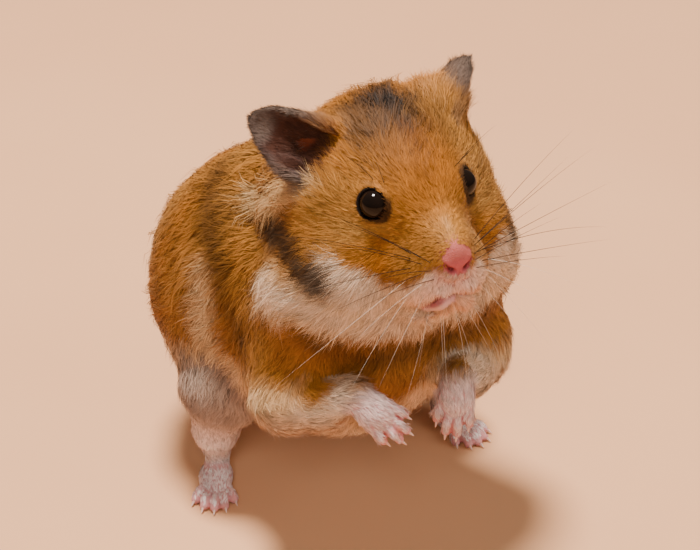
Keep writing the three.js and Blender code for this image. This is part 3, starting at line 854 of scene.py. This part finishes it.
def make_mesh(name, points, triangles):
    """A mesh object at the origin from points in millimetres and rows of three corners."""
    mesh = bpy.data.meshes.new(name)
    mesh.vertices.add(len(points))
    mesh.vertices.foreach_set("co", (points * MM).astype(np.float32).ravel())
    mesh.loops.add(triangles.size)
    mesh.loops.foreach_set("vertex_index", triangles.astype(np.int32).ravel())
    mesh.polygons.add(len(triangles))
    mesh.polygons.foreach_set("loop_start", np.arange(len(triangles), dtype=np.int32) * 3)
    mesh.polygons.foreach_set("use_smooth", np.ones(len(triangles), bool))
    mesh.update(calc_edges=True)
    piece = bpy.data.objects.new(name, mesh)
    bpy.context.scene.collection.objects.link(piece)
    return piece


def give_colour(piece, name, colour):
    """A linear colour at each point, as an attribute."""
    layer = piece.data.attributes.new(name, "FLOAT_COLOR", "POINT")
    rgba = np.concatenate([colour, np.ones((len(colour), 1))], 1)
    layer.data.foreach_set("color", rgba.astype(np.float32).ravel())


PATCH = 0.003


def unwrap(p, centre, tile, tiles):
    """A part's skin laid out flat: the direction from its centre on an octahedron, opened into a square,
    one square of a row of tiles to each part."""
    d = unit(p - centre)
    d = d / np.abs(d).sum(1, keepdims=True)
    folded = (1 - np.abs(d[:, [1, 0]])) * np.where(d[:, :2] >= 0, 1, -1)
    flat = np.where(d[:, [2]] < 0, folded, d[:, :2])
    across = int(np.ceil(np.sqrt(tiles)))
    cell = np.stack([tile % across, tile // across], 1)
    return (cell + 0.03 + 0.93 * (flat + 1) / 2) / across


LEVELS = 2  # stretches of a blade from root to tip
TAPER = [0, 0.3, 0.7, 1], [0.75, 1, 0.72, 0]  # a blade's width along it
HAIR_BANDS_AND_ROOT_SHADE = [0, 0.35, 0.8, 1], [0.48, 0.85, 1.06, 1.12]  # its brightness along it: dark at the root, partly the hair's own grey base and partly painted shade deep in the coat, and light at the tip
FLOOR_GAP = 0.02
SPARE, TRIES = 1.15, 4  # area of a grid's cell over that of a tuft's share, and roots tried for each tuft
DARK_TUFTS, DARK_DEPTH = 0.07, 0.45  # the share of tufts that are darker, and by how much
DRAW_IN, SINK = 0.75, 0.15


def tufts(name, skin, keep, most, blades, width, spread, seed):
    """A piece of the coat. Tufts are rooted on the skin, about one to a cell of a grid just fine enough.
    Each is a few blades whose roots lie close together and whose tips draw in: a blade runs along the lie
    of the coat by t L cos a and rises by L (t sin a - t^2 droop), tapering to a point."""
    pick = np.random.default_rng(SEED + seed)
    points, triangles, normals = skin["points"], skin["triangles"], skin["normals"]
    corner = points[triangles]
    area = np.linalg.norm(np.cross(corner[:, 1] - corner[:, 0], corner[:, 2] - corner[:, 0]), axis=1) / 2
    chosen = area * keep[triangles].mean(1)
    spacing = np.sqrt(SPARE * chosen.sum() / most)
    count = most * TRIES
    which = pick.choice(len(triangles), count, p=chosen / chosen.sum())
    a, b = np.sqrt(pick.random(count)), pick.random(count)
    share = np.stack([1 - a, a * (1 - b), a * b], 1)[..., None]
    root = (corner[which] * share).sum(1)
    cell = np.floor(root / spacing + pick.random(3)).astype(np.int64)
    _, first = np.unique(cell @ [1, 4096, 4096**2], return_index=True)
    first = pick.permutation(first)[:most]
    which, share, root = which[first], share[first], root[first]
    blend = lambda values: (values[triangles[which]] * share.reshape(-1, 3, *[1] * (values.ndim - 1))).sum(1)
    normal, flow, colour = unit(blend(normals)), unit(blend(skin["flow"])), blend(skin["colour"])
    length, stand = blend(skin["length"]), np.radians(blend(skin["stand"]))
    part = skin["part"][triangles[which, 0]]
    flow = unit(flow - dot(flow, normal)[:, None] * normal)
    side = np.cross(normal, flow)

    n = len(root)
    t = np.linspace(0, 1, LEVELS + 1)
    one, each = (n, 1, 1), (n, blades, 1)
    angle, reach = pick.uniform(0, 2 * np.pi, each), np.sqrt(pick.random(each)) * spread
    off_along, off_aside = reach * np.cos(angle), reach * np.sin(angle)
    long = length[:, None, None] * pick.uniform(0.72, 1.18, each) * pick.uniform(0.85, 1.15, one)
    yaw = pick.normal(0, 0.12, each) + pick.normal(0, 0.1, one) + 0.35 * swirl(root, 1.7, 11)[:, None, None]
    lift = stand[:, None, None] * pick.uniform(0.7, 1.3, each)
    bend = pick.normal(0, 0.12, one) + pick.normal(0, 0.08, each)
    droop = np.sin(lift) * pick.uniform(0.5, 0.95, one) + long / 110
    draw = DRAW_IN * t**1.3
    u = long * t * np.cos(lift)
    rise = long * (t * np.sin(lift) - t**2 * droop) - np.minimum(SINK, 0.03 * long)
    along = u * np.cos(yaw) + off_along * (1 - draw)
    aside = u * np.sin(yaw) + off_aside * (1 - draw) + bend * long * t**2
    axes = [v[:, None, None] for v in (flow, side, normal)]
    line = root[:, None, None]
    for way, axis in zip((along, aside, rise), axes):
        line = line + way[..., None] * axis
    roll = pick.normal(0, 0.5, each)[..., None]
    across = np.cos(roll) * axes[1] + np.sin(roll) * axes[2]
    half = width / 2 * np.interp(t, *TAPER) * pick.uniform(0.75, 1.25, each)
    left, right = line - across * half[..., None], line + across * half[..., None]
    body = np.stack([left[:, :, :-1], right[:, :, :-1]], 3).reshape(n, blades, 2 * LEVELS, 3)
    place = np.concatenate([body, line[:, :, -1:]], 2)
    place[..., 2] = np.maximum(place[..., 2], FLOOR_GAP)

    rung = 2 * np.arange(LEVELS - 1)[:, None]
    strip = np.concatenate([rung + [3, 1, 0], rung + [2, 3, 0], [2 * LEVELS - np.arange(3)]])
    size = 2 * LEVELS + 1
    corners = strip + np.arange(n * blades)[:, None, None] * size

    t_of = np.append(np.repeat(t[:-1], 2), 1.0)
    tint = colour[:, None, :] * (1 + pick.normal(0, 0.12, one) + pick.normal(0, 0.08, each))
    tint = np.clip(tint, 0.002, 0.95)
    # Darker roots: partly the hair's own grey base, partly painted shade deep in the coat, most where the
    # hair is long.
    shade = np.interp(t_of, *HAIR_BANDS_AND_ROOT_SHADE)
    depth = np.clip(length / 5, 0.2, 1)[:, None, None]
    tint = tint * np.where(pick.random(one) < DARK_TUFTS, 1 - DARK_DEPTH * depth, 1)
    tint = tint[:, :, None, :] * (1 + depth[..., None] * (shade[:, None] - 1))
    piece = make_mesh(name, place.reshape(-1, 3), corners.reshape(-1, 3))
    give_colour(piece, "coat_colour", np.clip(tint, 0, 1).reshape(-1, 3))

    numbers, tile = np.unique(part, return_inverse=True)
    centre = skin["centres"][part]
    patch = unwrap(root, centre, tile, len(numbers))[:, None, None]
    column = (np.arange(blades)[:, None] + np.append(np.tile([0.1, 0.9], LEVELS), 0.5)) / blades
    uv = patch + PATCH * np.stack([column, np.tile(t_of, (blades, 1))], -1)
    layer = piece.data.uv_layers.new(name="OFBake")
    layer.data.foreach_set("uv", uv.reshape(-1, 2)[corners.ravel()].astype(np.float32).ravel())
    facing = np.cross(axes[0][..., 0, :], across[..., 0, :])
    soft = unit(normal[:, None] + 0.7 * unit(facing))
    shading = np.repeat(soft.reshape(-1, 3), size, 0)
    piece.data.normals_split_custom_set_from_vertices(shading.astype(np.float32))
    return piece


# ---- materials

def material(name, **values):
    """A material whose shader's plain sockets are set directly. Returns it with its nodes and links."""
    made = bpy.data.materials.new(name)
    made.use_nodes = True
    shader = made.node_tree.nodes["Principled BSDF"]
    for socket, value in values.items():
        shader.inputs[socket.replace("_", " ")].default_value = value
    return made, made.node_tree.nodes, made.node_tree.links, shader


def noise_node(nodes, links, scale):
    """Noise on Object coordinates, with its scale in waves to a metre."""
    place = nodes.new("ShaderNodeTexCoord")
    noise = nodes.new("ShaderNodeTexNoise")
    noise.inputs["Scale"].default_value = scale
    noise.inputs["Detail"].default_value = 4
    links.new(place.outputs["Object"], noise.inputs["Vector"])
    return noise.outputs["Fac"]


def two_toned(name, scale, dark, light, **values):
    """A material whose colour runs from dark to light by noise."""
    made, nodes, links, shader = material(name, **values)
    ramp = nodes.new("ShaderNodeValToRGB")
    for end, code in zip(ramp.color_ramp.elements, (dark, light)):
        end.color = (*tone(code), 1)
    links.new(noise_node(nodes, links, scale), ramp.inputs["Fac"])
    links.new(ramp.outputs["Color"], shader.inputs["Base Color"])
    return made


def painted(nodes, links, shader, attribute, scale):
    """The attribute's colour, made a little darker and lighter by noise, into the shader."""
    paint = nodes.new("ShaderNodeAttribute")
    paint.attribute_name = attribute
    spread = nodes.new("ShaderNodeMapRange")
    spread.inputs["To Min"].default_value = 0.85
    spread.inputs["To Max"].default_value = 1.15
    links.new(noise_node(nodes, links, scale), spread.inputs["Value"])
    mix = nodes.new("ShaderNodeVectorMath")
    mix.operation = "SCALE"
    links.new(paint.outputs["Color"], mix.inputs[0])
    links.new(spread.outputs["Result"], mix.inputs["Scale"])
    links.new(mix.outputs["Vector"], shader.inputs["Base Color"])


def fur_material():
    """Hair: the coat's colour with a faint warm sheen."""
    made, nodes, links, shader = material(
        "soft_fur", Roughness=0.6, Specular_IOR_Level=0.14, Sheen_Weight=0.06, Sheen_Roughness=0.5)
    shader.inputs["Sheen Tint"].default_value = (1, 0.8, 0.55, 1)
    painted(nodes, links, shader, "coat_colour", 900)
    return made


def skin_material():
    """Skin: its own colour, with light that goes a little way in and a fine grain."""
    made, nodes, links, shader = material(
        "skin", Roughness=0.6, Specular_IOR_Level=0.15, Subsurface_Weight=0.15, Subsurface_Scale=0.0012)
    painted(nodes, links, shader, "skin_colour", 700)
    bump = nodes.new("ShaderNodeBump")
    bump.inputs["Strength"].default_value = 0.8
    bump.inputs["Distance"].default_value = 0.0003
    links.new(noise_node(nodes, links, 4000), bump.inputs["Height"])
    links.new(bump.outputs["Normal"], shader.inputs["Normal"])
    return made


# ---- the animal's pieces

def clad(piece, look, slot, *nodes):
    """Gives a piece its material, puts it under the body 'root' and hides the CAD nodes that it stands for.
    The slot is not used.
    """
    piece.data.materials.append(look)
    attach(piece, "root")
    if nodes:
        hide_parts(*nodes)
    return piece


MARK_ALONG, MARK_OUT = 0.55, 0.2


def skin_data():
    """The skin with everything that the coat needs to know at each of its points. A hair takes the colour
    of the marking at its middle, not at its root."""
    points, triangles, normals = make_skin()
    parts = part_distances(points)
    length, stand = hair_measure(points, parts)
    flow = lie(points, normals, parts)
    outer = points + MARK_ALONG * length[:, None] * flow + MARK_OUT * length[:, None] * normals
    colour = markings(outer, part_distances(outer))
    names = list(parts)
    owner = np.stack([parts[n] for n in names], 1).argmin(1)
    centres = np.array([
        points[owner == k].mean(0) if (owner == k).any() else points[0] for k in range(len(names))])
    return dict(
        points=points, triangles=triangles, normals=normals, parts=parts, names=names, part=owner,
        centres=centres, length=length, stand=stand, colour=colour, flow=flow,
        bare=bare(points))


def eyeball(side):
    """A globe on a grid of turns, its front drawn out by a low bulge."""
    turns, rings = 48, 32
    out, nasal, upward = eye_axes(side)
    v = np.linspace(0, np.pi, rings)[1:-1, None]
    w = np.linspace(0, 2 * np.pi, turns, endpoint=False)[None]
    radius = EYE_RADIUS * (1 + 0.035 * np.exp(-(v / 0.6)**2))
    x, y, z = radius * np.sin(v) * np.cos(w), radius * np.sin(v) * np.sin(w), radius * np.cos(v) + 0 * w
    grid = np.stack([x, y, z], -1).reshape(-1, 3)
    ends = [[0, 0, EYE_RADIUS * 1.035], [0, 0, -EYE_RADIUS]]
    local = np.concatenate([grid, ends])
    points = EYES[side] + local @ np.stack([nasal, upward, out])
    k = np.arange(rings - 3)[:, None] * turns
    j = np.arange(turns)[None]
    a, b, c, d = k + j, k + (j + 1) % turns, k + turns + (j + 1) % turns, k + turns + j
    last = (rings - 3) * turns
    j = j[0]
    top, bottom = np.full(turns, rings * turns - 2 * turns), np.full(turns, rings * turns - 2 * turns + 1)
    triangles = np.concatenate([
        np.stack([a, d, c], -1).reshape(-1, 3), np.stack([a, c, b], -1).reshape(-1, 3),
        np.stack([top, j, (j + 1) % turns], -1), np.stack([bottom, last + (j + 1) % turns, last + j], -1)])
    if np.dot(np.cross(nasal, upward), out) < 0:
        triangles = triangles[:, ::-1]
    return make_mesh(f"eyeball_{side}", points, triangles)


WHISKER_ROWS = [  # height of the row on the muzzle's pad, the way it points, length, how dark
    (-7.6, [0.74, 0.12, 0.62], 35, 1), (-9.2, [0.88, 0.05, 0.34], 41, 1),
    (-10.8, [0.93, -0.02, 0.08], 38, 1), (-12.4, [0.86, -0.1, -0.3], 30, 0),
    (-14.0, [0.62, -0.16, -0.68], 24, 0),
]
WHISKER_PALE, WHISKER_DARK = tone("e9dccb"), tone("17100c")


def whiskers():
    """Tapered hairs in rows on both sides of the muzzle, two over each eye and some under the chin: each
    a three-sided tube about root + s way + s^2 sag, its radius falling to a point."""
    pick = np.random.default_rng(SEED + 40)
    hairs = []
    for side in (-1, 1):
        for height, aim, size, shade in WHISKER_ROWS:
            for column in range(2 + shade):
                hairs.append((
                    [side * (6.3 - 1.1 * column), -10.5 - 1.6 * column, height - 0.3 * column],
                    [side * aim[0], aim[1] + (-0.22 * column + 0.1), aim[2]],
                    size * (1 - 0.24 * column), shade))
        for column in (0, 1):
            hairs.append((
                [side * (8 + column), -1 + 2 * column, 4.5],
                [side * 0.45, -0.25 + 0.2 * column, 0.85], 13, 1))
            for low in (0, 1):
                hairs.append((
                    [side * (1.5 + 2 * column), -12.5, -18.5 - 1.5 * low],
                    [side * (0.15 + 0.2 * column), -0.35, -0.8 - 0.1 * low], 19 - 4 * low, 0))
    root, way, reach, dark = (np.array(v, float) for v in zip(*hairs))
    way = unit(way + pick.normal(0, 0.08, (len(way), 3)))
    root = FACE + root + pick.normal(0, 0.25, (len(root), 3))
    root[:, 0] += MUZZLE_TURN * (FACE[1] - root[:, 1])
    root = settled(root, 6) - 0.4 * way
    reach = reach * pick.uniform(0.85, 1.1, len(root))
    t = np.linspace(0, 1, 13)
    sag = pick.normal(0, 0.05, (len(root), 3)) + [0, 0.05, -0.13]
    line = root[:, None] + reach[:, None, None] * (t[:, None] * way[:, None] + t[:, None]**2 * sag[:, None])
    along = unit(np.gradient(line, axis=1))
    wide = unit(np.cross(along, [0.1, 0.3, 1]))
    high = np.cross(along, wide)
    thick = (0.032 + 0.05 * dark)[:, None] * (1 - t**1.5)[None] + 0.004
    turn = np.arange(3) * 2 * np.pi / 3
    ring = line[:, :, None] + thick[:, :, None, None] * (
        np.cos(turn)[:, None] * wide[:, :, None] + np.sin(turn)[:, None] * high[:, :, None])
    k, j = np.meshgrid(np.arange(len(t) - 1) * 3, np.arange(3), indexing="ij")
    a, b = (k + j).ravel(), (k + (j + 1) % 3).ravel()
    sides = np.concatenate([np.stack([a, b, b + 3], 1), np.stack([a, b + 3, a + 3], 1)])
    last = 3 * len(t) - 3
    sides = np.concatenate([sides, [[2, 1, 0], [last, last + 1, last + 2]]])
    faces = sides + np.arange(len(root))[:, None, None] * 3 * len(t)
    piece = make_mesh("whiskers", ring.reshape(-1, 3), faces.reshape(-1, 3))
    shade = WHISKER_PALE + dark[:, None] * (WHISKER_DARK - WHISKER_PALE)
    give_colour(piece, "coat_colour", np.repeat(shade, 3 * len(t), 0))
    return piece


LAMPS = [  # name, place and size across in metres, watts
    ("key", (-0.05, 0.12, 0.9), 0.2, 25.0),
    ("window", (-0.45, -0.75, 0.75), 0.4, 6.2),
    ("fill", (0.7, -0.6, 0.5), 0.6, 4.6),
]
LAMP_TINT, ROOM_TINT, ROOM_STRENGTH = (1.0, 0.93, 0.85), (1.0, 0.88, 0.76, 1), 0.14


def studio():
    """A pale floor, a dim warm room and three soft round lamps, of which only the key shows in the eyes."""
    bpy.ops.mesh.primitive_plane_add(size=6)
    floor = bpy.context.object
    floor.name = "floor"
    floor.data.materials.append(
        two_toned("pale_floor", 9, "c28e69", "cb9973", Roughness=0.85, Specular_IOR_Level=0.2))
    world = bpy.data.worlds.new("room")
    world.use_nodes = True
    world.node_tree.nodes["Background"].inputs["Color"].default_value = ROOM_TINT
    world.node_tree.nodes["Background"].inputs["Strength"].default_value = ROOM_STRENGTH
    bpy.context.scene.world = world
    for name, at, size, power in LAMPS:
        light = bpy.data.lights.new(name, "AREA")
        light.shape = "DISK"
        light.size, light.energy = size, power
        light.color = LAMP_TINT
        lamp = bpy.data.objects.new(name, light)
        lamp.location = at
        lamp.rotation_euler = (Vector((0, 0, 0.05)) - lamp.location).to_track_quat("-Z", "Y").to_euler()
        lamp.visible_glossy = name == "key"
        bpy.context.scene.collection.objects.link(lamp)


AZIMUTH, ELEVATION, DISTANCE = np.radians(-25), np.radians(32), 0.5
AIM = Vector((0.00403, 0.00124, 0.05))
SENSOR, FOCAL_SHARE = 36, 2200 / 700


def camera():
    """Half a metre away, 25 degrees to the animal's right and 32 degrees above."""
    back = Vector((
        np.sin(AZIMUTH) * np.cos(ELEVATION), -np.cos(AZIMUTH) * np.cos(ELEVATION), np.sin(ELEVATION)))
    lens = bpy.data.cameras.new("camera")
    lens.sensor_width = SENSOR
    lens.lens = SENSOR * FOCAL_SHARE
    lens.clip_start, lens.clip_end = 0.01, 20
    seat = bpy.data.objects.new("camera", lens)
    seat.location = AIM + back * DISTANCE
    seat.rotation_euler = (-back).to_track_quat("-Z", "Y").to_euler()
    bpy.context.scene.collection.objects.link(seat)
    bpy.context.scene.camera = seat


COATS = [  # name, most tufts, blades to a tuft, a blade's width, the tuft's spread at its root
    ("coat_face", 13000, 5, 0.12, 0.28),
    ("coat_crown", 8200, 8, 0.14, 0.4),
    ("coat_ears", 9000, 3, 0.1, 0.3),
    ("coat_neck", 8200, 8, 0.15, 0.5),
    ("coat_chest", 8200, 8, 0.15, 0.5),
    ("coat_flank_right", 8200, 8, 0.16, 0.6),
    ("coat_flank_left", 8200, 8, 0.16, 0.6),
    ("coat_limbs", 11000, 6, 0.13, 0.4),
    ("coat_locks", 2000, 7, 0.13, 0.3),
]
LOCK_LENGTH, LOCK_STAND, STEEPEST = 1.3, 10, 66


def coat_of(skin):
    """Which coat piece each point of the skin belongs to, by its part and place."""
    p, names = skin["points"], skin["names"]
    own = lambda *starts: np.array([n.startswith(starts) for n in names])[skin["part"]]
    front = near(p, FACE + [0, -3, -7], 19.5)
    fore = p[:, 1] < -10
    right = p[:, 0] < TRUNK_MIDDLE
    trunk = own("trunk", "tail")
    return {
        "coat_face": own("head") & front,
        "coat_crown": own("head") & ~front,
        "coat_ears": own("ear"),
        "coat_neck": own("neck"),
        "coat_chest": own("upper_arm") | (trunk & fore),
        "coat_flank_right": trunk & ~fore & right,
        "coat_flank_left": trunk & ~fore & ~right,
        "coat_limbs": own("forearm", "forepaw", "thigh", "shank", "hind_foot"),
        "coat_locks": long_locks(p) * own("head", "neck", "trunk"),
    }


def long_locks(p):
    """How thickly single longer locks stand in the coat: most on crown, ear roots, the tuft behind the ear
    and the ruff."""
    face = folded(p)
    amount = 1.6 * spot(face, [0, 15, 12], [13, 9, 8], 0.5)
    amount += band(face, EAR_TUFT, 3, 2) + 0.4 * band(face, RUFF, 5, 2)
    for shape in EARS.values():
        amount += closeness(p, shape[0], 10)
    return amount + 0.04


def build():
    """Camera, studio, skin, eyes, claws, whiskers and the coat."""
    camera()
    studio()
    skin = skin_data()
    flesh = [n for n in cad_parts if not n.startswith(("eye_", "claw_"))]
    hide = make_mesh("skin", skin["points"], skin["triangles"])
    colour = bare_skin(skin["points"], skin["parts"], skin["colour"])
    give_colour(hide, "skin_colour", np.clip(colour, 0, 1))
    clad(hide, skin_material(), "coat", *flesh)
    gloss = two_toned("wet_black_eye", 300, "080605", "1a100b", Roughness=0.05, Specular_IOR_Level=0.22)
    for side in EYES:
        clad(eyeball(side), gloss, "eye", f"eye_{side}")
    horn = two_toned(
        "ivory_claw", 1500, "c6a096", "d8b9ac", Roughness=0.35, Subsurface_Weight=0.2,
        Subsurface_Scale=0.0008)
    for name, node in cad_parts.items():
        if name.startswith("claw_"):
            for place in node.material_slots:
                place.material = horn
    fur = fur_material()
    clad(whiskers(), fur, "coat")
    places = coat_of(skin)
    stand = np.minimum(skin["stand"] + LOCK_STAND, STEEPEST)
    locks = dict(skin, length=skin["length"] * LOCK_LENGTH, stand=stand)
    for seed, (name, *sizes) in enumerate(COATS):
        under = locks if name == "coat_locks" else skin
        clad(tufts(name, under, places[name] * ~skin["bare"], *sizes, seed), fur, "coat")


build()
